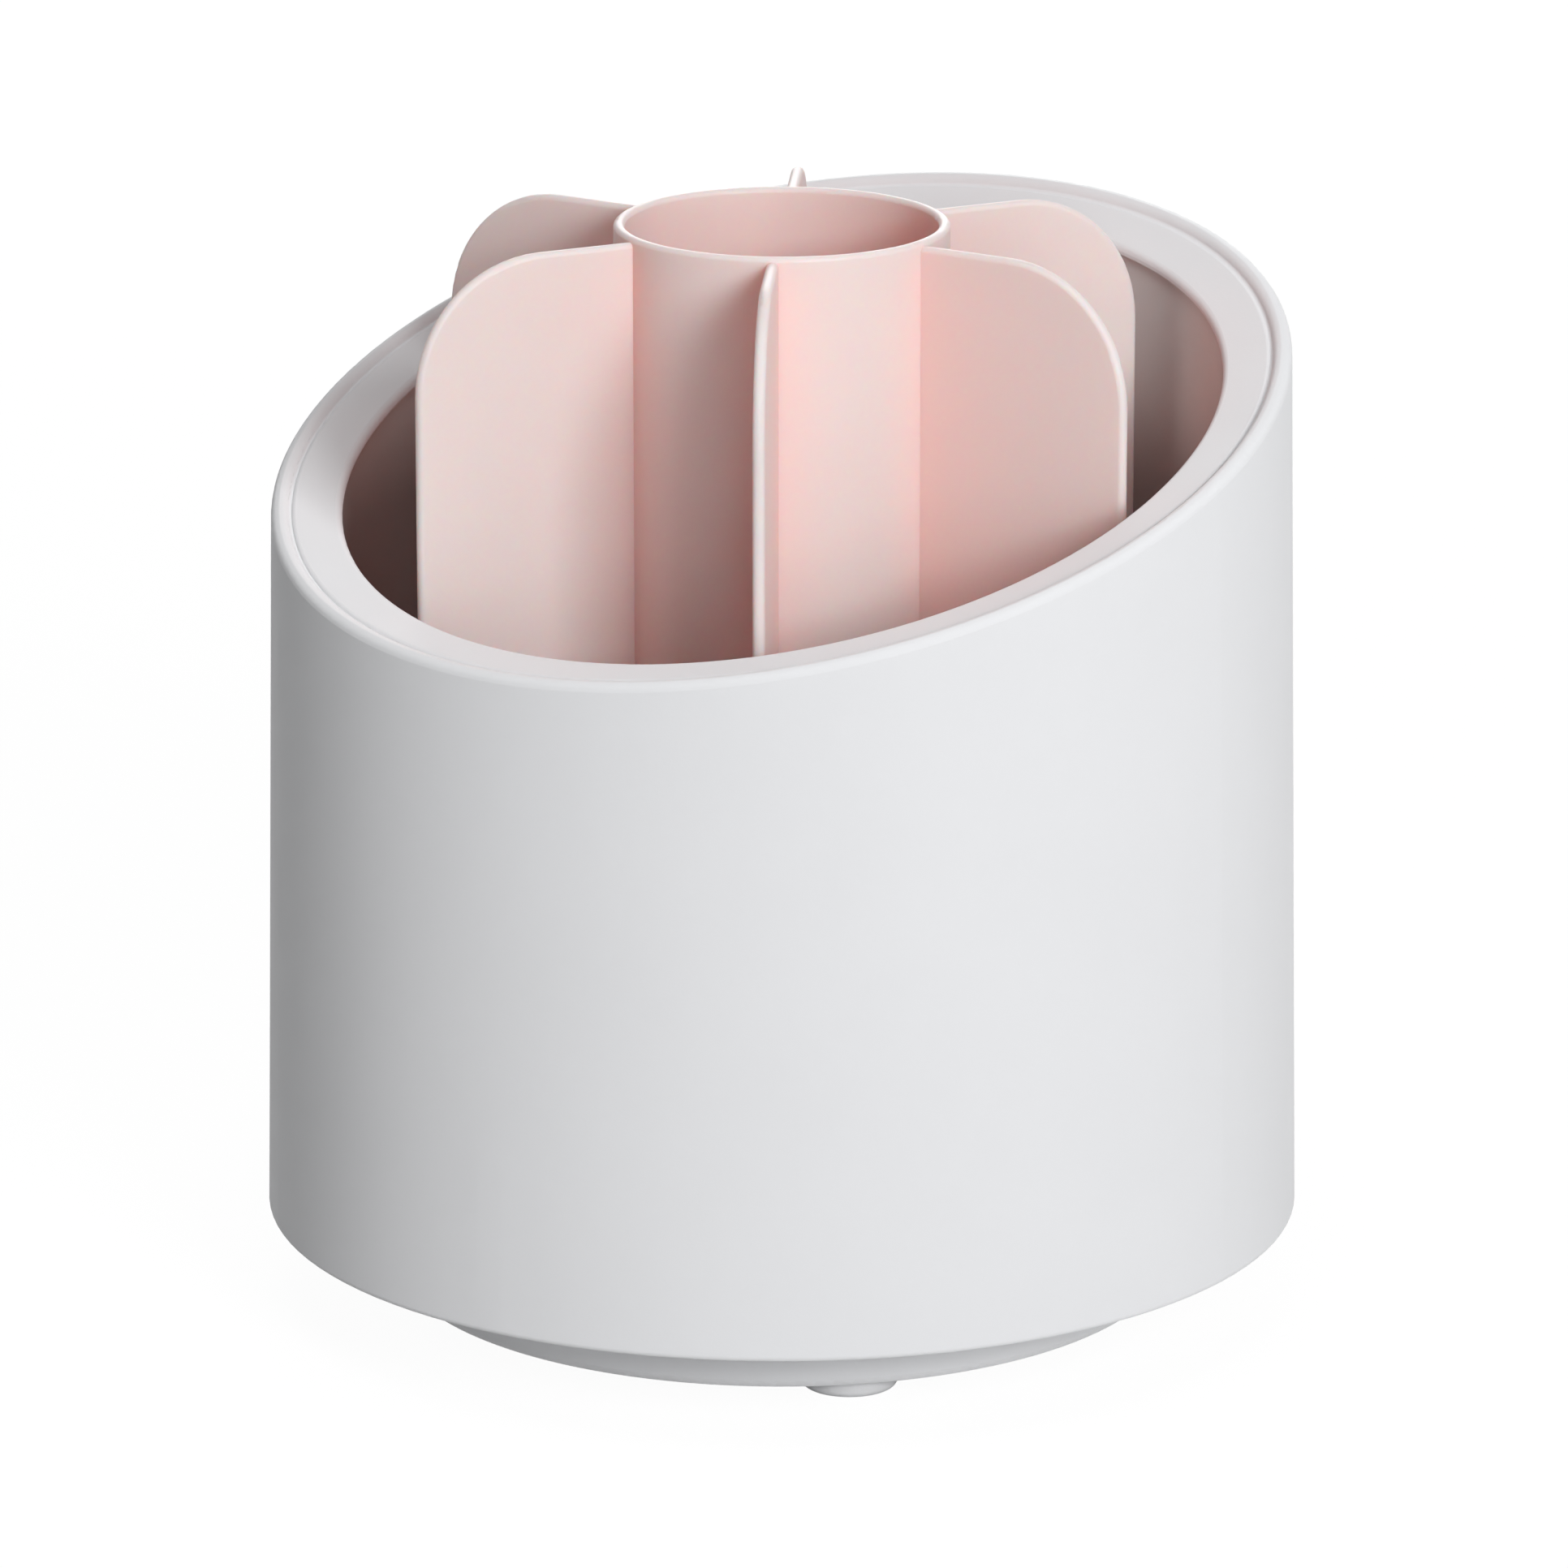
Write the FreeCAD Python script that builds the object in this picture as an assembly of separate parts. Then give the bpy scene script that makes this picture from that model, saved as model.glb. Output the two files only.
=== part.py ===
import FreeCAD, Part
import math
import os

from FreeCAD import Vector

# Rotating makeup brush holder, in millimetres.
# The origin is the centre of the foot plane, +Z is up and +Y points to the high side of the slanted rim.

# Outer shell
shell_radius = 65.0
shell_bottom = 11.5
shell_draft = 1.0
shell_wall = 2.4
shell_edge_round = 0.7
bead_round = 1.14

# Slanted rim, with depths measured straight down from the top of the bead
rim_height = 113.1
rim_tilt = 16.8
opening_radius = 54.6
band_depth_outside = 0.7
band_depth_inside = 1.9
opening_round = 0.9
ring_underside = 2.9
ring_side_gap = 0.12
ring_edge_round = 0.5
ledge_reach = 57.6
ledge_thickness = 2.0
ledge_shelf = 4.5
peg_count = 6
peg_radius = 1.2
peg_circle = 59.1
peg_root = 0.8
peg_gap = 0.2

# Inner liner
liner_floor = 21.5
liner_floor_thickness = 2.0
liner_wall = 1.8
liner_draft = 1.0
liner_corner = 3.0
liner_behind_opening = 0.1
flange_radius = 60.2

# Brush divider
tube_radius = 20.8
tube_wall = 1.4
tube_top = 137.5
tube_lip_round = 0.63
fin_count = 6
fin_reach = 49.8
fin_thickness = 1.5
fin_top = 136.9
fin_corner = 16.6
fin_foot_corner = 4.0
fin_edge_round = 0.7
spigot_height = 1.5
spigot_gap = 0.2

# Plate that closes the shell
plate_underside = 12.7
plate_thickness = 2.4
plate_gap = 0.3
plate_rib_circle = 29.0
plate_rib_count = 6
plate_rib_reach = 50.0
rib_thickness = 1.6

# Turntable
base_radius = 49.0
base_underside = 2.5
base_floor_thickness = 2.4
base_wall = 2.2
base_wall_top = 12.2
base_edge_round = 1.0
base_rib_count = 8
base_rib_first_angle = 22.5
base_rib_top = 6.9
race_circle = 36.0
race_width = 7.0
ball_radius = 2.5
ball_count = 12
ball_first_angle = 15.0
ball_height = 8.6
race_gap = 0.2
lower_race_top = 7.3
upper_race_bottom = 9.9
cage_thickness = 1.4
cage_width = 8.0
top_plate_radius = 46.0
top_plate_thickness = 1.8
hub_radius = 7.0
hub_end = 5.7
bush_radius = 9.0
bush_flange_radius = 11.0
bush_flange_thickness = 0.6
bush_seat = 10.0
running_gap = 0.05
boss_radius = 13.5
screw_recess_radius = 11.0
screw_recess_roof = 6.0

# Feet
foot_radius = 6.0
foot_circle = 40.5
foot_count = 4
foot_first_angle = 45.0
foot_recess = 0.8
foot_round = 0.8
foot_side_gap = 0.15

# Screws
tapping_shank = 1.3
tapping_head = 2.5
tapping_head_height = 1.3
tapping_head_round = 0.9
pilot_gap = 0.05
clearance_hole = 1.55
head_pocket = 2.8
head_sink = 0.1
boss_wall = 1.7
floor_screw_count = 6
floor_screw_first_angle = 30.0
floor_screw_circle = 58.9
floor_screw_length = 11.0
floor_boss_height = 18.0
top_screw_count = 4
top_screw_first_angle = 45.0
top_screw_circle = 24.0
top_screw_length = 7.1
blind_skin = 0.8
pivot_shank = 2.0
pivot_length = 6.6
pivot_chamfer = 0.6
pivot_head = 4.2
pivot_head_height = 2.0
pivot_head_round = 1.2
washer_radius = 10.0
washer_thickness = 0.8

# How far a cutting shape runs past what it cuts, how far shapes run into each other
# before they are fused, and how near an edge lies to the place it is picked by
cut_margin = 1.0
overlap = 0.5
match = 0.01

up = Vector(0, 0, 1)
centre = Vector(0, 0, 0)


# Turned and patterned shapes

def rounded_corner(before, corner, after, radius):
    """Start, middle and end of the arc that rounds one corner of an outline."""
    if radius == 0:
        return corner, corner, corner
    towards_before = (before - corner).normalize()
    towards_after = (after - corner).normalize()
    half_angle = towards_before.getAngle(towards_after) / 2
    reach = radius / math.tan(half_angle)
    bisector = (towards_before + towards_after).normalize()
    arc_centre = corner + bisector * (radius / math.sin(half_angle))
    start = corner + towards_before * reach
    middle = arc_centre - bisector * radius
    end = corner + towards_after * reach
    return start, middle, end


def outline_face(corners):
    """Flat face in the XZ plane from corners, each (across, up, rounding)."""
    points = [Vector(across, 0, height) for across, height, rounding in corners]
    bends = []
    for number, (across, height, rounding) in enumerate(corners):
        before = points[number - 1]
        after = points[(number + 1) % len(points)]
        bends.append(rounded_corner(before, points[number], after, rounding))
    edges = []
    for number, (start, middle, end) in enumerate(bends):
        previous_end = bends[number - 1][2]
        if previous_end.distanceToPoint(start) > match:
            edges.append(Part.LineSegment(previous_end, start).toShape())
        if start.distanceToPoint(end) > match:
            edges.append(Part.Arc(start, middle, end).toShape())
    return Part.Face(Part.Wire(edges))


def turned(corners):
    """Solid turned about the Z axis from corners, each (radius, height, rounding)."""
    return outline_face(corners).revolve(centre, up, 360)


def cylinder(radius, bottom, top, x=0.0, y=0.0):
    return Part.makeCylinder(radius, top - bottom, Vector(x, y, bottom), up)


def tube(outer, inner, bottom, top):
    return cylinder(outer, bottom, top).cut(cylinder(inner, bottom - cut_margin, top + cut_margin))


def around(circle, count, first_angle=0.0):
    """Spots spaced evenly on a circle, each (x, y, angle in degrees)."""
    spots = []
    for number in range(count):
        angle = first_angle + number * 360.0 / count
        x = circle * math.cos(math.radians(angle))
        y = circle * math.sin(math.radians(angle))
        spots.append((x, y, angle))
    return spots


def radial_rib(inner, outer, bottom, top, thickness, angle):
    """Upright rib that runs outwards from the axis at one angle."""
    rib = Part.makeBox(outer - inner, thickness, top - bottom, Vector(inner, -thickness / 2, bottom))
    rib.rotate(centre, up, angle)
    return rib


def joined(first, others):
    return first.fuse(others).removeSplitter()


peg_spots = around(peg_circle, peg_count)
floor_screw_spots = around(floor_screw_circle, floor_screw_count, floor_screw_first_angle)
top_screw_spots = around(top_screw_circle, top_screw_count, top_screw_first_angle)
ball_spots = around(race_circle, ball_count, ball_first_angle)
foot_spots = around(foot_circle, foot_count, foot_first_angle)


# The slanted rim plane

def rim_at(y, depth=0.0):
    """Height of the rim plane at one y, a stated depth below the bead."""
    return rim_height + y * math.tan(math.radians(rim_tilt)) - depth


def above_rim(depth):
    """Block that fills everything above the rim plane, lowered by a depth."""
    size = 4 * shell_radius
    block = Part.makeBox(size, size, size, Vector(-size / 2, -size / 2, 0))
    block.rotate(centre, Vector(1, 0, 0), rim_tilt)
    block.translate(Vector(0, 0, rim_height - depth))
    return block


def rim_layer(solid, upper_depth, lower_depth):
    """The layer of a solid between two depths below the bead."""
    return solid.cut(above_rim(upper_depth)).common(above_rim(lower_depth))


def rim_ellipse(radius, depth):
    """Outline where an upright cylinder meets the rim plane, a depth below the bead."""
    ellipse = Part.Ellipse(centre, radius / math.cos(math.radians(rim_tilt)), radius)
    outline = Part.Wire([ellipse.toShape()])
    outline.rotate(centre, up, 90)
    outline.rotate(centre, Vector(1, 0, 0), rim_tilt)
    outline.translate(Vector(0, 0, rim_height - depth))
    return outline


def rim_edges(solid, depth, inner, outer, tolerance=match):
    """Edges of a solid that follow the rim plane at one depth, between two radii."""
    found = []
    for edge in solid.Edges:
        points = edge.discretize(9)
        on_plane = all(abs(point.z - rim_at(point.y, depth)) < tolerance for point in points)
        radii = [math.hypot(point.x, point.y) for point in points]
        if on_plane and inner < min(radii) and max(radii) < outer:
            found.append(edge)
    return found


def drafted(radius, bottom, top):
    """Upright cone with the shell's draft, from its radius at the shell's bottom edge."""
    narrowing = math.tan(math.radians(shell_draft))
    low = radius - (bottom - shell_bottom) * narrowing
    high = radius - (top - shell_bottom) * narrowing
    return Part.makeCone(low, high, top - bottom, Vector(0, 0, bottom), up)


def inner_wall_at_rim():
    """Radius of the shell's inner wall at the middle height of the rim."""
    narrowing = math.tan(math.radians(shell_draft))
    return shell_radius - shell_wall - (rim_height - shell_bottom) * narrowing


blank_top = rim_at(shell_radius) + cut_margin


# Outer shell: thin drafted wall with a rounded bead, a ledge for the liner and six screw bosses

def screw_boss(x, y, angle):
    """Boss for a self-tapping screw, webbed to the shell's wall."""
    bottom = plate_underside + plate_thickness
    top = bottom + floor_boss_height
    boss = cylinder(tapping_shank + boss_wall, bottom, top, x, y)
    web = radial_rib(floor_screw_circle, shell_radius, bottom, top, 2 * boss_wall, angle)
    return boss.fuse(web)


def bottom_edge(solid):
    """The full circle at the shell's outer bottom edge."""
    for edge in solid.Edges:
        box = edge.BoundBox
        if box.ZMax < shell_bottom + match and box.XLength > 2 * (shell_radius - match):
            return edge


def make_outer_shell():
    body = drafted(shell_radius, shell_bottom, blank_top)
    room = drafted(shell_radius - shell_wall, shell_bottom - cut_margin, blank_top + cut_margin)
    ledge = rim_layer(body, ledge_shelf, ledge_shelf + ledge_thickness)
    ledge = ledge.cut(cylinder(ledge_reach, 0, blank_top))
    bosses = [screw_boss(*spot).common(body) for spot in floor_screw_spots]
    shell = joined(body.cut(room).cut(above_rim(0)), [ledge] + bosses)

    boss_bottom = plate_underside + plate_thickness
    pilot_end = boss_bottom + floor_screw_length
    for x, y, angle in floor_screw_spots:
        shell = shell.cut(cylinder(tapping_shank + pilot_gap, boss_bottom - cut_margin, pilot_end, x, y))
    for x, y, angle in peg_spots:
        bottom = rim_at(y, ledge_shelf + ledge_thickness + cut_margin)
        top = rim_at(y, ledge_shelf - cut_margin)
        shell = shell.cut(cylinder(peg_radius + pilot_gap, bottom, top, x, y))

    shell = shell.makeFillet(bead_round, rim_edges(shell, 0, 0, shell_radius))
    return shell.makeFillet(shell_edge_round, [bottom_edge(shell)])


# Rim ring: dished ring inside the bead, with pegs that hold it and the liner to the ledge

def dish():
    """Shallow funnel that falls from the bead to the opening, along slanted ellipses."""
    fall = (band_depth_inside - band_depth_outside) / (inner_wall_at_rim() - opening_radius)
    mouth_depth = band_depth_inside - (shell_radius - opening_radius) * fall
    small_end = rim_ellipse(opening_radius, band_depth_inside)
    large_end = rim_ellipse(shell_radius, mouth_depth)
    return Part.makeLoft([small_end, large_end], True, True)


def make_rim_ring():
    blank = drafted(shell_radius - shell_wall - ring_side_gap, shell_bottom, blank_top)
    ring = rim_layer(blank, 0, ring_underside).cut(cylinder(opening_radius, 0, blank_top))
    ring = ring.cut(dish())

    inner_edge = rim_edges(ring, band_depth_inside, 0, opening_radius + match)
    ring = ring.makeFillet(opening_round, inner_edge)
    outer_edge = rim_edges(ring, band_depth_outside, ledge_reach, shell_radius, ring_side_gap)
    ring = ring.makeFillet(ring_edge_round, outer_edge)

    pegs = []
    for x, y, angle in peg_spots:
        bottom = rim_at(y, ledge_shelf + ledge_thickness)
        pegs.append(cylinder(peg_radius, bottom, rim_at(y, ring_underside) + peg_root, x, y))
    return joined(ring, pegs)


# Inner liner: drafted cup with a slanted flange, and a spigot that centres the divider's tube

def liner_radius(height):
    """Inner radius of the liner, which stays behind the opening even at the rim's low side."""
    lowest_top = rim_at(-opening_radius, ring_underside)
    widening = (height - lowest_top) * math.tan(math.radians(liner_draft))
    return opening_radius + liner_behind_opening + widening


def make_inner_liner():
    underside = liner_floor - liner_floor_thickness
    outside = turned([
        (0, underside, 0),
        (liner_radius(underside) + liner_wall, underside, liner_corner + liner_wall),
        (liner_radius(blank_top) + liner_wall, blank_top, 0),
        (0, blank_top, 0)])
    inside = turned([
        (0, liner_floor, 0),
        (liner_radius(liner_floor), liner_floor, liner_corner),
        (liner_radius(blank_top), blank_top, 0),
        (0, blank_top, 0)])
    flange = cylinder(flange_radius, underside, blank_top).common(above_rim(ledge_shelf))
    cup = outside.fuse(flange).cut(above_rim(ring_underside)).cut(inside)

    spigot_radius = tube_radius - tube_wall - spigot_gap
    spigot_top = liner_floor + spigot_height
    spigot = tube(spigot_radius, spigot_radius - rib_thickness, liner_floor - overlap, spigot_top)
    cup = joined(cup, [spigot])
    for x, y, angle in peg_spots:
        bottom = rim_at(y, ledge_shelf + cut_margin)
        top = rim_at(y, ring_underside - cut_margin)
        cup = cup.cut(cylinder(peg_radius + peg_gap, bottom, top, x, y))
    return cup


# Brush divider: one moulding, an open tube with six fins whose top corners have a large radius

def make_fin(angle):
    """Upright fin with all its free edges rounded."""
    root = tube_radius - tube_wall / 2
    fin = outline_face([
        (root, liner_floor, 0),
        (fin_reach, liner_floor, fin_foot_corner),
        (fin_reach, fin_top, fin_corner),
        (root, fin_top, 0)])
    fin.translate(Vector(0, fin_thickness / 2, 0))
    fin = fin.extrude(Vector(0, -fin_thickness, 0))
    free_edges = []
    for edge in fin.Edges:
        box = edge.BoundBox
        along_face = box.YLength < match
        at_root = box.XMax < root + match
        at_floor = box.ZMax < liner_floor + match
        if along_face and not at_root and not at_floor:
            free_edges.append(edge)
    fin = fin.makeFillet(fin_edge_round, free_edges)
    fin.rotate(centre, up, angle)
    return fin.cut(cylinder(root, 0, tube_top))


def make_brush_divider():
    bore = tube_radius - tube_wall
    wall = turned([
        (bore, liner_floor, 0),
        (tube_radius, liner_floor, 0),
        (tube_radius, tube_top, tube_lip_round),
        (bore, tube_top, tube_lip_round)])
    fins = [make_fin(angle) for x, y, angle in around(fin_reach, fin_count)]
    return joined(wall, fins)


# Shell floor: ribbed plate screwed up into the shell's bosses, which carries the liner

def make_shell_floor():
    plate_top = plate_underside + plate_thickness
    liner_seat = liner_floor - liner_floor_thickness
    low = plate_top - overlap
    plate = cylinder(shell_radius - shell_wall - plate_gap, plate_underside, plate_top)
    supports = [tube(plate_rib_circle + rib_thickness, plate_rib_circle, low, liner_seat)]
    for x, y, angle in around(plate_rib_circle, plate_rib_count):
        inner = plate_rib_circle + overlap
        supports.append(radial_rib(inner, plate_rib_reach, low, liner_seat, rib_thickness, angle))
    for x, y, angle in top_screw_spots:
        supports.append(cylinder(tapping_shank + boss_wall, low, liner_seat, x, y))
    plate = joined(plate, supports)

    low = plate_underside - cut_margin
    for x, y, angle in top_screw_spots:
        plate = plate.cut(cylinder(tapping_shank + pilot_gap, low, liner_seat - blind_skin, x, y))
    for x, y, angle in floor_screw_spots:
        pocket_roof = plate_underside + tapping_head_height + head_sink
        plate = plate.cut(cylinder(clearance_hole, low, plate_top + cut_margin, x, y))
        plate = plate.cut(cylinder(head_pocket, low, pocket_roof, x, y))
    return plate


def tapping_screws(spots, seat, length):
    """Pan-head self-tapping screws that point up, with their heads below the seat."""
    screws = []
    for x, y, angle in spots:
        screw = turned([
            (0, seat - tapping_head_height, 0),
            (tapping_head, seat - tapping_head_height, tapping_head_round),
            (tapping_head, seat, 0),
            (tapping_shank, seat, 0),
            (tapping_shank, seat + length - tapping_shank, 0),
            (0, seat + length, 0)])
        screw.translate(Vector(x, y, 0))
        screws.append(screw)
    return Part.makeCompound(screws)


def make_shell_floor_screws():
    seat = plate_underside + tapping_head_height + head_sink
    return tapping_screws(floor_screw_spots, seat, floor_screw_length)


def make_top_plate_screws():
    seat = plate_underside - top_plate_thickness
    return tapping_screws(top_screw_spots, seat, top_screw_length)


# Upper race plate: turns with the shell, and its hub runs in the base's bush

def race_groove():
    return Part.makeTorus(race_circle, ball_radius + race_gap, Vector(0, 0, ball_height), up)


def make_turntable_top():
    plate_bottom = plate_underside - top_plate_thickness
    race_inner = race_circle - race_width / 2
    race_outer = race_circle + race_width / 2
    plate = cylinder(top_plate_radius, plate_bottom, plate_underside)
    race = tube(race_outer, race_inner, upper_race_bottom, plate_underside)
    hub = cylinder(hub_radius, hub_end, plate_underside)
    plate = joined(plate, [race, hub]).cut(race_groove())
    plate = plate.cut(cylinder(pivot_shank + pilot_gap, hub_end - cut_margin, plate_underside - blind_skin))
    low = plate_bottom - cut_margin
    for x, y, angle in top_screw_spots:
        plate = plate.cut(cylinder(clearance_hole, low, plate_underside + cut_margin, x, y))
    return plate


# Ball train: steel balls held apart by a flat cage

def make_ball(x, y):
    return Part.makeSphere(ball_radius, Vector(x, y, ball_height))


def make_ball_cage():
    outer = race_circle + cage_width / 2
    inner = race_circle - cage_width / 2
    cage = tube(outer, inner, ball_height - cage_thickness / 2, ball_height + cage_thickness / 2)
    for x, y, angle in ball_spots:
        cage = cage.cut(make_ball(x, y))
    return cage


# Base: dish with the lower race, a boss for the bush, ribs and recesses for the feet

def make_turntable_base():
    floor_top = base_underside + base_floor_thickness
    wall_inside = base_radius - base_wall
    race_inner = race_circle - race_width / 2
    race_outer = race_circle + race_width / 2
    base = turned([
        (0, base_underside, 0),
        (base_radius, base_underside, base_edge_round),
        (base_radius, base_wall_top, 0),
        (wall_inside, base_wall_top, 0),
        (wall_inside, floor_top, 0),
        (race_outer, floor_top, 0),
        (race_outer, lower_race_top, 0),
        (race_inner, lower_race_top, 0),
        (race_inner, floor_top, 0),
        (boss_radius, floor_top, 0),
        (boss_radius, bush_seat, 0),
        (0, bush_seat, 0)])
    ribs = []
    low = floor_top - overlap
    for x, y, angle in around(race_circle, base_rib_count, base_rib_first_angle):
        for inner, outer in ((boss_radius, race_inner), (race_outer, wall_inside)):
            rib = radial_rib(inner - overlap, outer + overlap, low, base_rib_top, rib_thickness, angle)
            ribs.append(rib)
    base = joined(base, ribs).cut(race_groove())
    base = base.cut(cylinder(bush_radius, 0, bush_seat + cut_margin))
    base = base.cut(cylinder(screw_recess_radius, 0, screw_recess_roof))
    for x, y, angle in foot_spots:
        base = base.cut(cylinder(foot_radius + foot_side_gap, 0, base_underside + foot_recess, x, y))
    return base


def make_pivot_bush():
    bore = hub_radius + running_gap
    sleeve = tube(bush_radius, bore, screw_recess_roof, bush_seat)
    flange = tube(bush_flange_radius, bore, bush_seat, bush_seat + bush_flange_thickness)
    return joined(sleeve, [flange])


# Pivot: a screw up into the hub clamps a washer that reaches under the bush

def make_retaining_washer():
    return tube(washer_radius, pivot_shank + pilot_gap, hub_end - washer_thickness, hub_end)


def make_pivot_screw():
    seat = hub_end - washer_thickness
    tip = seat + pivot_length
    return turned([
        (0, seat - pivot_head_height, 0),
        (pivot_head, seat - pivot_head_height, pivot_head_round),
        (pivot_head, seat, 0),
        (pivot_shank, seat, 0),
        (pivot_shank, tip - pivot_chamfer, 0),
        (pivot_shank - pivot_chamfer, tip, 0),
        (0, tip, 0)])


# Feet: soft rubber buttons let into the base

def make_foot(x, y):
    foot = turned([
        (0, 0, 0),
        (foot_radius, 0, foot_round),
        (foot_radius, base_underside + foot_recess, 0),
        (0, base_underside + foot_recess, 0)])
    foot.translate(Vector(x, y, 0))
    return foot


# Write every piece

def save(name, shape):
    shape.exportStep("parts/" + name + ".step")
    print(name, "valid" if shape.isValid() else "NOT VALID", len(shape.Solids), round(shape.Volume, 1))


os.makedirs("parts", exist_ok=True)

save("outer_shell", make_outer_shell())
save("rim_ring", make_rim_ring())
save("inner_liner", make_inner_liner())
save("brush_divider", make_brush_divider())
save("shell_floor", make_shell_floor())
save("shell_floor_screws", make_shell_floor_screws())
save("turntable_top", make_turntable_top())
save("top_plate_screws", make_top_plate_screws())
save("turntable_base", make_turntable_base())
save("pivot_bush", make_pivot_bush())
save("retaining_washer", make_retaining_washer())
save("pivot_screw", make_pivot_screw())
save("ball_cage", make_ball_cage())

for number, (x, y, angle) in enumerate(ball_spots, start=1):
    save("bearing_ball_%02d" % number, make_ball(x, y))

foot_names = ["foot_back_right", "foot_back_left", "foot_front_left", "foot_front_right"]
for name, (x, y, angle) in zip(foot_names, foot_spots):
    save(name, make_foot(x, y))
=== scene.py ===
import math

import bpy
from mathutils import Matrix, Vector


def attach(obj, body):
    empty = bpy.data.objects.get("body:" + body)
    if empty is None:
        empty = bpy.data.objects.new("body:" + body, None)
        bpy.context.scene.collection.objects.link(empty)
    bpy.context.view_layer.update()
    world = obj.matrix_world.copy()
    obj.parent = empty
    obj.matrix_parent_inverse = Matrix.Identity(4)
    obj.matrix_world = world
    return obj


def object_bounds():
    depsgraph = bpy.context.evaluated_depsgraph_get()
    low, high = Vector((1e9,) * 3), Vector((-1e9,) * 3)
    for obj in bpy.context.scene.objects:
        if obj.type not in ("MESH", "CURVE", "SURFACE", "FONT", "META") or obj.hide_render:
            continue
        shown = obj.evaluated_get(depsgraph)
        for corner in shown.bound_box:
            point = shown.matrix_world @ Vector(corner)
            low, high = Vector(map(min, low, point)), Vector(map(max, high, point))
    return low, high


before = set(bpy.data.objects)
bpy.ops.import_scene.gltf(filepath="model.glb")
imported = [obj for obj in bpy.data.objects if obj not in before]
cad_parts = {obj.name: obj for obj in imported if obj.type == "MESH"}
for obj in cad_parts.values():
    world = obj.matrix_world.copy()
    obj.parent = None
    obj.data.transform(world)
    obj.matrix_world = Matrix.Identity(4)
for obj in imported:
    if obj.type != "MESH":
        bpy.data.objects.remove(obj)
cad_low, cad_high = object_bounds()


# Rubber feet
# Four soft buttons, 12 mm across, pushed into recesses under the base. They are moulded in pale
# thermoplastic rubber, with a dry and matt skin that picks up a little dust.

def new_finish(name):
    """A material with one shader, and the object coordinates that all its textures share."""
    material = bpy.data.materials.new(name)
    material.use_nodes = True
    nodes = material.node_tree.nodes
    links = material.node_tree.links
    shader = nodes["Principled BSDF"]
    place = nodes.new("ShaderNodeTexCoord").outputs["Object"]
    return material, nodes, links, shader, place


def ranged(nodes, links, value, first, last, low=0, high=1):
    """A value that runs from low to high while another runs from first to last, and stops there."""
    spread = nodes.new("ShaderNodeMapRange")
    spread.inputs["From Min"].default_value = first
    spread.inputs["From Max"].default_value = last
    spread.inputs["To Min"].default_value = low
    spread.inputs["To Max"].default_value = high
    links.new(value, spread.inputs["Value"])
    return spread.outputs["Result"]


def patches(nodes, links, place, size, low, high):
    """Soft random patches of one size in metres, as a value that runs from low to high."""
    weakest = 0.3
    strongest = 0.7
    noise = nodes.new("ShaderNodeTexNoise")
    noise.inputs["Scale"].default_value = 1 / size
    noise.inputs["Detail"].default_value = 3
    links.new(place, noise.inputs["Vector"])
    return ranged(nodes, links, noise.outputs["Fac"], weakest, strongest, low, high)


def blended(nodes, links, share, first, second):
    """A colour that goes from the first to the second as the share goes from 0 to 1."""
    mix = nodes.new("ShaderNodeMix")
    mix.data_type = "RGBA"
    mix.inputs["A"].default_value = (*first, 1)
    mix.inputs["B"].default_value = (*second, 1)
    links.new(share, mix.inputs["Factor"])
    return mix.outputs["Result"]


def cloudy(nodes, links, place, colour, cloud_colour):
    """The colour of a moulding, with faint clouds where the melt was mixed less well."""
    cloud_size = 0.018
    cloud = patches(nodes, links, place, cloud_size, 0, 1)
    return blended(nodes, links, cloud, colour, cloud_colour)


def mould_skin(nodes, links, place, shader, roughness, grain, depth):
    """The skin that a mould leaves: uneven gloss, and grain of one size and depth in metres."""
    gloss_size = 0.007
    gloss_change = 0.03
    gloss = patches(nodes, links, place, gloss_size, roughness - gloss_change, roughness + gloss_change)
    links.new(gloss, shader.inputs["Roughness"])
    bump = nodes.new("ShaderNodeBump")
    bump.inputs["Distance"].default_value = depth
    links.new(patches(nodes, links, place, grain, 0, 1), bump.inputs["Height"])
    links.new(bump.outputs["Normal"], shader.inputs["Normal"])


def moulded(name, colour, cloud_colour, roughness, grain, depth, shine=0.5, chalk=0.0):
    """A moulded plastic: cloudy colour under the skin of the mould, with its shine and its chalky look."""
    material, nodes, links, shader, place = new_finish(name)
    links.new(cloudy(nodes, links, place, colour, cloud_colour), shader.inputs["Base Color"])
    mould_skin(nodes, links, place, shader, roughness, grain, depth)
    shader.inputs["Specular IOR Level"].default_value = shine
    shader.inputs["Diffuse Roughness"].default_value = chalk
    return material


def dress(material, *names):
    """Put a material on pieces of the frame."""
    for name in names:
        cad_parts[name].material_slots[0].material = material


rubber_grey = (0.93, 0.935, 0.95)
rubber_dust = (0.89, 0.895, 0.91)
pale_rubber = moulded(
    "pale_rubber", rubber_grey, rubber_dust, roughness=0.75, grain=0.0006, depth=0.00002, shine=0.3)
dress(pale_rubber, "foot_back_right", "foot_back_left", "foot_front_left", "foot_front_right")


# Turntable base
# A low round dish with ribs inside, moulded in white plastic, that stays still on the table. The race
# plate above it and the plate that closes the shell are of the same plastic.

base_light = (0.92, 0.925, 0.94)
base_cloud = (0.90, 0.905, 0.92)
base_plastic = moulded(
    "base_plastic", base_light, base_cloud, roughness=0.5, grain=0.0004, depth=0.000005, chalk=0.5)
dress(base_plastic, "turntable_base", "turntable_top", "shell_floor")


# Bush and ball cage
# Both are moulded in natural nylon, slightly yellow and waxy. The bush is pressed into the base, and the
# cage lies loose between the races.

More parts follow.
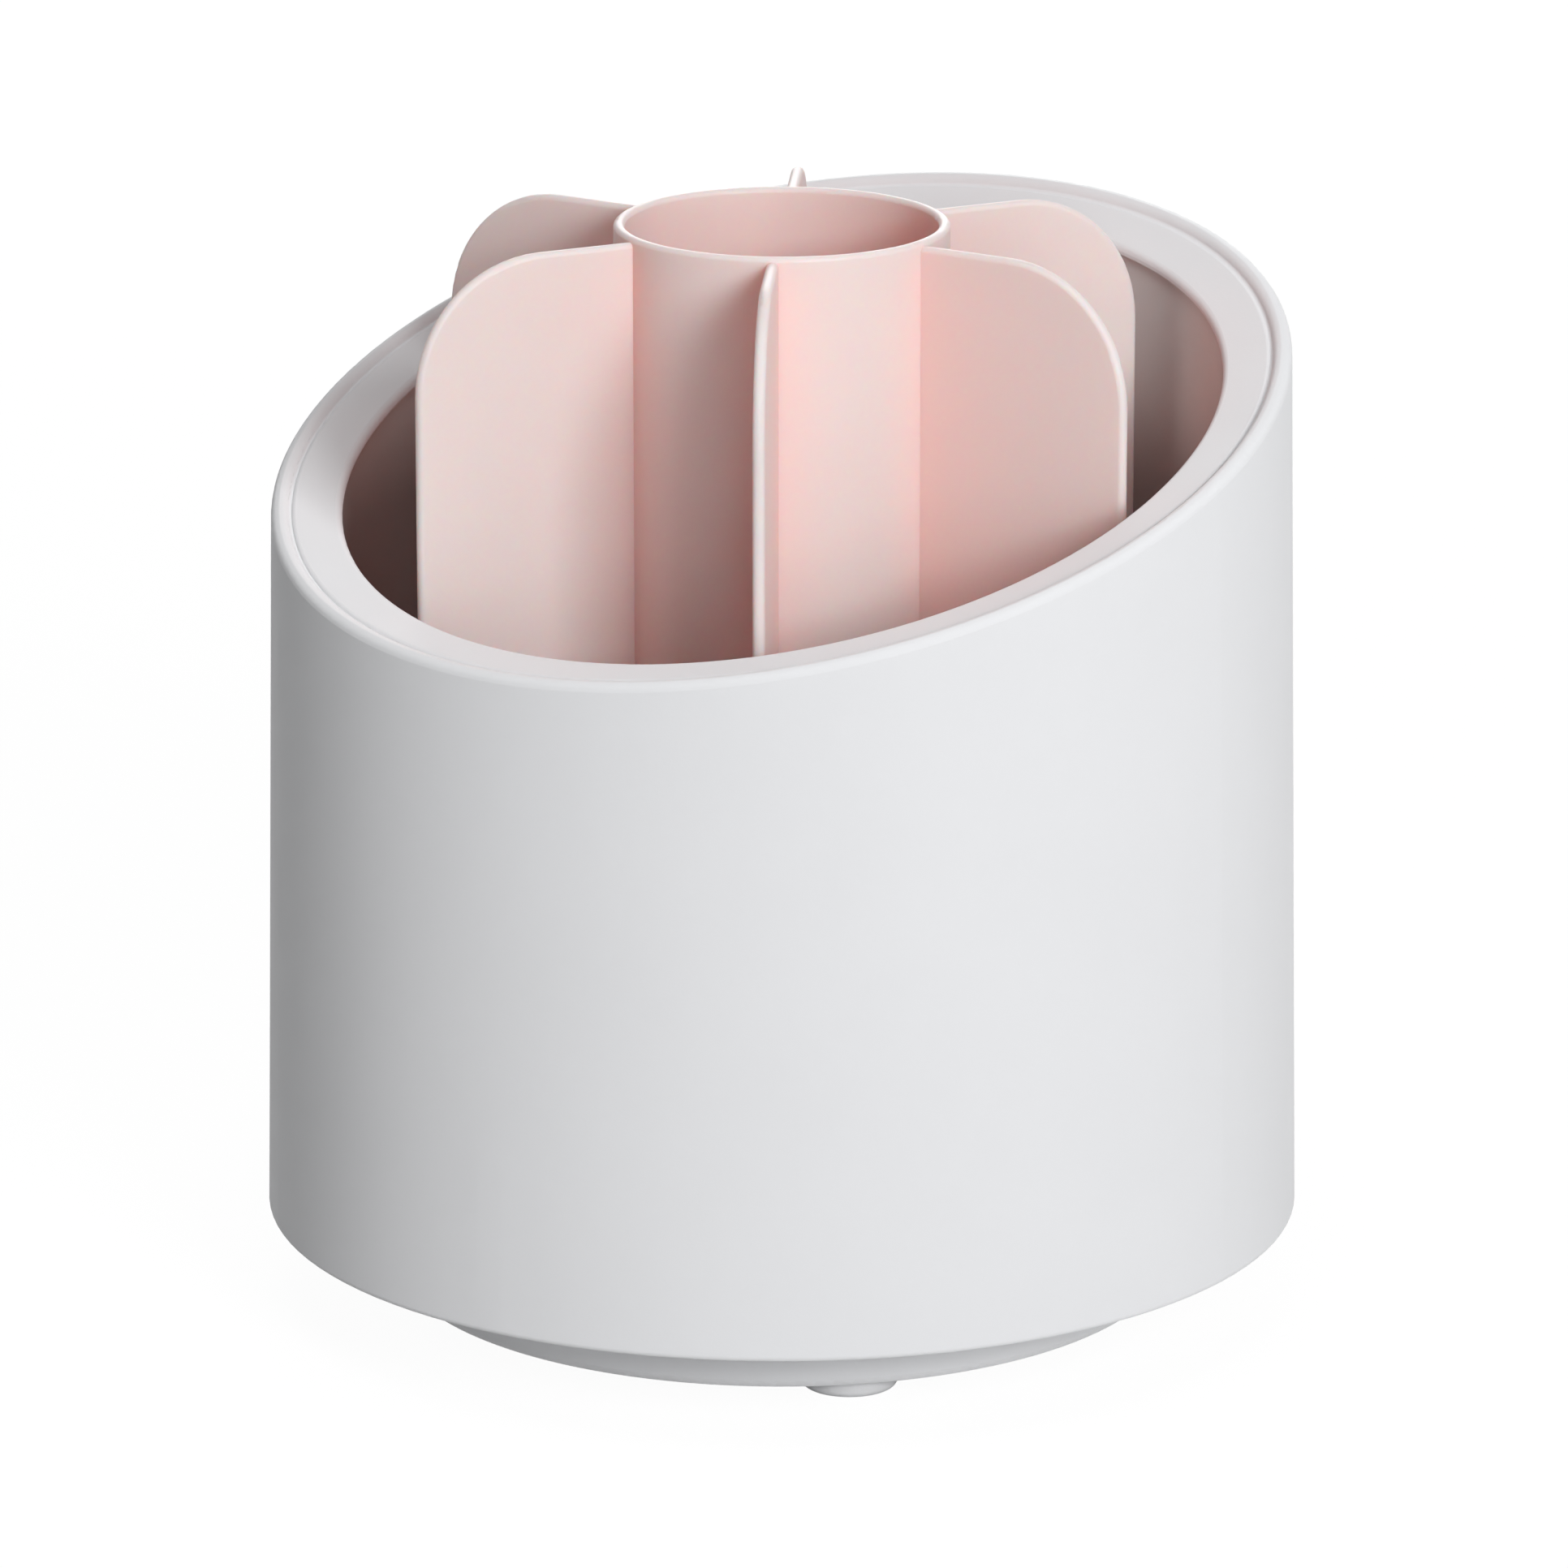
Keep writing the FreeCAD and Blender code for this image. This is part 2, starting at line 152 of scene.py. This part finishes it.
nylon_light = (0.74, 0.72, 0.64)
nylon_cloud = (0.68, 0.66, 0.58)
natural_nylon = moulded(
    "natural_nylon", nylon_light, nylon_cloud, roughness=0.45, grain=0.0008, depth=0.00001)
dress(natural_nylon, "pivot_bush", "ball_cage")


# Balls, washer and screws
# The twelve balls are of polished bearing steel. The washer and the screws are of zinc-plated steel. They
# hold the cup to the base, and the plates below the cup to the shell.

def metal(name, colour, roughness, scratch_size):
    """Bare or plated steel with faint handling marks."""
    smoother = 0.05
    rougher = 0.08
    material, nodes, links, shader, place = new_finish(name)
    shader.inputs["Base Color"].default_value = (*colour, 1)
    shader.inputs["Metallic"].default_value = 1
    gloss = patches(nodes, links, place, scratch_size, roughness - smoother, roughness + rougher)
    links.new(gloss, shader.inputs["Roughness"])
    return material


zinc_grey = (0.62, 0.62, 0.61)
zinc_plate = metal("zinc_plate", zinc_grey, roughness=0.35, scratch_size=0.0007)
dress(zinc_plate, "retaining_washer", "pivot_screw", "top_plate_screws", "shell_floor_screws")
steel_grey = (0.70, 0.70, 0.71)
bearing_steel = metal("bearing_steel", steel_grey, roughness=0.12, scratch_size=0.0005)
dress(bearing_steel, *[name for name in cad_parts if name.startswith("bearing_ball")])


# Outer shell and rim ring
# White plastic with the fine matt texture of a spark-eroded mould. The ring is a second moulding,
# pressed in behind the bead of the rim.

shell_light = (0.86, 0.865, 0.88)
shell_cloud = (0.85, 0.855, 0.87)
shell_plastic = moulded(
    "shell_plastic", shell_light, shell_cloud, roughness=0.6, grain=0.0004, depth=0.000004,
    shine=0.3, chalk=0.5)
dress(shell_plastic, "outer_shell", "rim_ring")


# Seam of the rim
# A thin fillet of white sealant in the joint between the bead and the ring, which shows as a soft grey
# groove all round. It lies in the slanted plane of the rim, where the two pieces meet.

rim_height = 0.1131
rim_tilt = 16.8
rim_rise = math.tan(math.radians(rim_tilt))
seam_steps = 240
seam_curve_points = 7

# The slant and the draft of the shell's wall move the joint a little from the low side to the high side.
joint_radius = 0.06085
joint_shift = 0.00032
ring_gap = 0.00035
ring_shift = 0.00021
ring_bow = 0.00008
bead_gap = 0.00018
bead_shift = 0.00017
bead_bow = 0.00004

ring_depth = 0.00097
valley_depth = 0.00115
bead_depth = 0.0006
buried_depth = 0.0015


def bent(share, first, middle, last):
    """A value that goes from the first to the last on a curve that leans towards the middle one."""
    return (1 - share) ** 2 * first + 2 * share * (1 - share) * middle + share ** 2 * last


def seam_section(angle):
    """Radii and depths below the rim of the seam's section, from the ring to the bead and back."""
    high_side = math.sin(angle)
    joint = joint_radius - joint_shift * high_side
    at_ring = joint - ring_gap - ring_shift * high_side - ring_bow * high_side ** 2
    at_bead = joint + bead_gap - bead_shift * high_side + bead_bow * high_side ** 2
    section = []
    for step in range(seam_curve_points):
        share = step / (seam_curve_points - 1)
        radius = bent(share, at_ring, joint, at_bead)
        depth = bent(share, ring_depth, valley_depth, bead_depth)
        section.append((radius, depth))
    return section + [(at_bead, buried_depth), (at_ring, buried_depth)]


points = []
for step in range(seam_steps):
    angle = 2 * math.pi * step / seam_steps
    for radius, depth in seam_section(angle):
        y = radius * math.sin(angle)
        points.append((radius * math.cos(angle), y, rim_height + y * rim_rise - depth))
row = len(points) // seam_steps
faces = []
for start in range(0, len(points), row):
    after = (start + row) % len(points)
    for corner in range(row):
        beside = (corner + 1) % row
        faces.append((start + corner, start + beside, after + beside, after + corner))
seam_mesh = bpy.data.meshes.new("rim_seam")
seam_mesh.from_pydata(points, [], faces)
seam_mesh.shade_smooth()
seam_mesh.materials.append(shell_plastic)
rim_seam = bpy.data.objects.new("rim_seam", seam_mesh)
bpy.context.scene.collection.objects.link(rim_seam)
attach(rim_seam, "cup")


# Inner liner
# Grey plastic cup from a polished mould, which looks brownish beside the pink divider. It is dark grey
# down in the cup, and paler with height, which is painted light near the high side of its mouth.

liner_dark = (0.39, 0.39, 0.39)
liner_painted_light = (0.86, 0.90, 0.90)
painted_light_starts = 0.094
painted_light_full = 0.111
liner_plastic, nodes, links, shader, place = new_finish("liner_plastic")
# Painted light: the colour runs from dark grey to pale grey as the height in the cup rises.
split = nodes.new("ShaderNodeSeparateXYZ")
links.new(place, split.inputs["Vector"])
painted_light_share = ranged(nodes, links, split.outputs["Z"], painted_light_starts, painted_light_full)
painted_light_share.node.interpolation_type = "SMOOTHSTEP"
links.new(blended(nodes, links, painted_light_share, liner_dark, liner_painted_light), shader.inputs["Base Color"])
mould_skin(nodes, links, place, shader, roughness=0.22, grain=0.0005, depth=0.000001)
shader.inputs["Specular IOR Level"].default_value = 0.9
dress(liner_plastic, "inner_liner")


# Brush divider
# Blush pink tube with six fins in one moulding, which stands loose in the liner. The plastic lets some
# light through. The light it throws on other faces is painted a deeper pink, which paints pink shade where
# its faces only light each other.

divider_pink = (0.955, 0.80, 0.787)
divider_cloud = (0.945, 0.79, 0.777)
divider_plastic, nodes, links, shader, place = new_finish("divider_plastic")

# Painted shade: the light that the divider throws on other faces is painted a deeper pink near the tube.
# Towards the outer edges of the fins it is painted pale, so the liner beside them keeps its own colour.
painted_bounce_pink = (1.0, 0.30, 0.20)
painted_bounce_pale = (0.95, 0.95, 0.93)
pink_within = 0.034
pale_beyond = 0.050
flat = nodes.new("ShaderNodeVectorMath")
flat.operation = "MULTIPLY"
flat.inputs[1].default_value = (1, 1, 0)
links.new(place, flat.inputs[0])
from_axis = nodes.new("ShaderNodeVectorMath")
from_axis.operation = "LENGTH"
links.new(flat.outputs["Vector"], from_axis.inputs[0])
outwards = ranged(nodes, links, from_axis.outputs["Value"], pink_within, pale_beyond)
painted_bounce_mix = nodes.new("ShaderNodeMix")
painted_bounce_mix.data_type = "RGBA"
# Bounce rays see the painted pink, and the camera sees the divider's own colour.
links.new(nodes.new("ShaderNodeLightPath").outputs["Is Diffuse Ray"], painted_bounce_mix.inputs["Factor"])
links.new(cloudy(nodes, links, place, divider_pink, divider_cloud), painted_bounce_mix.inputs["A"])
links.new(blended(nodes, links, outwards, painted_bounce_pink, painted_bounce_pale), painted_bounce_mix.inputs["B"])
links.new(painted_bounce_mix.outputs["Result"], shader.inputs["Base Color"])

mould_skin(nodes, links, place, shader, roughness=0.5, grain=0.0005, depth=0.000003)
shader.inputs["Diffuse Roughness"].default_value = 0.5
shader.inputs["Subsurface Weight"].default_value = 0.6
shader.inputs["Subsurface Scale"].default_value = 0.004
shader.inputs["Subsurface Radius"].default_value = (1.0, 0.3, 0.2)
dress(divider_plastic, "brush_divider")


# Studio
# A pale floor and room that look white to the camera and in reflections, four softboxes, and the camera
# at the photograph's angle. The key and the front lamp stand to the right of the camera.

def looked_at(nodes, links):
    """1 for rays from the camera, from a glossy surface or through glass, and 0 for spread light."""
    path = nodes.new("ShaderNodeLightPath")
    seen = path.outputs["Is Camera Ray"]
    for kind in ("Is Glossy Ray", "Is Transmission Ray"):
        either = nodes.new("ShaderNodeMath")
        either.operation = "MAXIMUM"
        links.new(seen, either.inputs[0])
        links.new(path.outputs[kind], either.inputs[1])
        seen = either.outputs["Value"]
    return seen


floor_reach = 3.0
corners = [(-1, -1), (1, -1), (1, 1), (-1, 1)]
floor_mesh = bpy.data.meshes.new("floor")
floor_mesh.from_pydata([(x * floor_reach, y * floor_reach, 0) for x, y in corners], [], [(0, 1, 2, 3)])
floor = bpy.data.objects.new("floor", floor_mesh)
bpy.context.scene.collection.objects.link(floor)

floor_grey = (0.46, 0.46, 0.46, 1)
floor_glow = 1.14
floor_glow_share = 0.84
floor_paper = bpy.data.materials.new("floor_paper")
floor_paper.use_nodes = True
nodes = floor_paper.node_tree.nodes
links = floor_paper.node_tree.links
nodes.clear()
paper = nodes.new("ShaderNodeBsdfDiffuse")
paper.inputs["Color"].default_value = floor_grey
glow = nodes.new("ShaderNodeEmission")
glow.inputs["Strength"].default_value = floor_glow
glow_share = ranged(nodes, links, looked_at(nodes, links), 0, 1, 0, floor_glow_share)
mix = nodes.new("ShaderNodeMixShader")
links.new(glow_share, mix.inputs["Fac"])
links.new(paper.outputs["BSDF"], mix.inputs[1])
links.new(glow.outputs["Emission"], mix.inputs[2])
surface = nodes.new("ShaderNodeOutputMaterial").inputs["Surface"]
links.new(mix.outputs["Shader"], surface)
floor_mesh.materials.append(floor_paper)

room_light = 0.15
room = bpy.data.worlds.new("room")
room.use_nodes = True
nodes = room.node_tree.nodes
links = room.node_tree.links
walls = nodes["Background"]
walls.inputs["Color"].default_value = (1, 1, 1, 1)
wall_light = ranged(nodes, links, looked_at(nodes, links), 0, 1, room_light, 1)
links.new(wall_light, walls.inputs["Strength"])
bpy.context.scene.world = room

camera_azimuth = 33.19
middle = (cad_low + cad_high) / 2


def toward(azimuth, elevation):
    """Direction from the holder, with the azimuth counted from the front, anticlockwise from above."""
    turn = math.radians(azimuth)
    lift = math.radians(elevation)
    return Vector((math.sin(turn) * math.cos(lift), -math.cos(turn) * math.cos(lift), math.sin(lift)))


def softbox(name, from_camera, elevation, distance, size, power):
    """Square soft lamp that faces the middle of the holder, placed by its angle from the camera."""
    light = bpy.data.lights.new(name, "AREA")
    light.size = size
    light.energy = power
    lamp = bpy.data.objects.new(name, light)
    bpy.context.scene.collection.objects.link(lamp)
    back = toward(camera_azimuth + from_camera, elevation)
    lamp.location = middle + back * distance
    lamp.rotation_mode = "QUATERNION"
    lamp.rotation_quaternion = (-back).to_track_quat("-Z", "Y")


softbox("key", from_camera=25, elevation=23, distance=1.2, size=0.4, power=7.2)
softbox("front", from_camera=12, elevation=6, distance=1.4, size=0.5, power=3.1)
softbox("top", from_camera=-30, elevation=80, distance=1.4, size=0.8, power=4.8)
softbox("back", from_camera=178, elevation=18, distance=1.4, size=0.6, power=5.5)

sensor_width = 36
focal_length = 212.29
camera_distance = 1.1151
camera_aside = 0.00027
camera_height = 0.3829
camera_dip = 15.894
lens = bpy.data.cameras.new("camera")
lens.sensor_width = sensor_width
lens.lens = focal_length
camera = bpy.data.objects.new("camera", lens)
bpy.context.scene.collection.objects.link(camera)
bpy.context.scene.camera = camera
right = toward(camera_azimuth + 90, 0)
camera.location = toward(camera_azimuth, 0) * camera_distance + right * camera_aside
camera.location.z = camera_height
camera.rotation_euler = (math.radians(90 - camera_dip), 0, math.radians(camera_azimuth))

bpy.context.scene.view_settings.view_transform = "Standard"
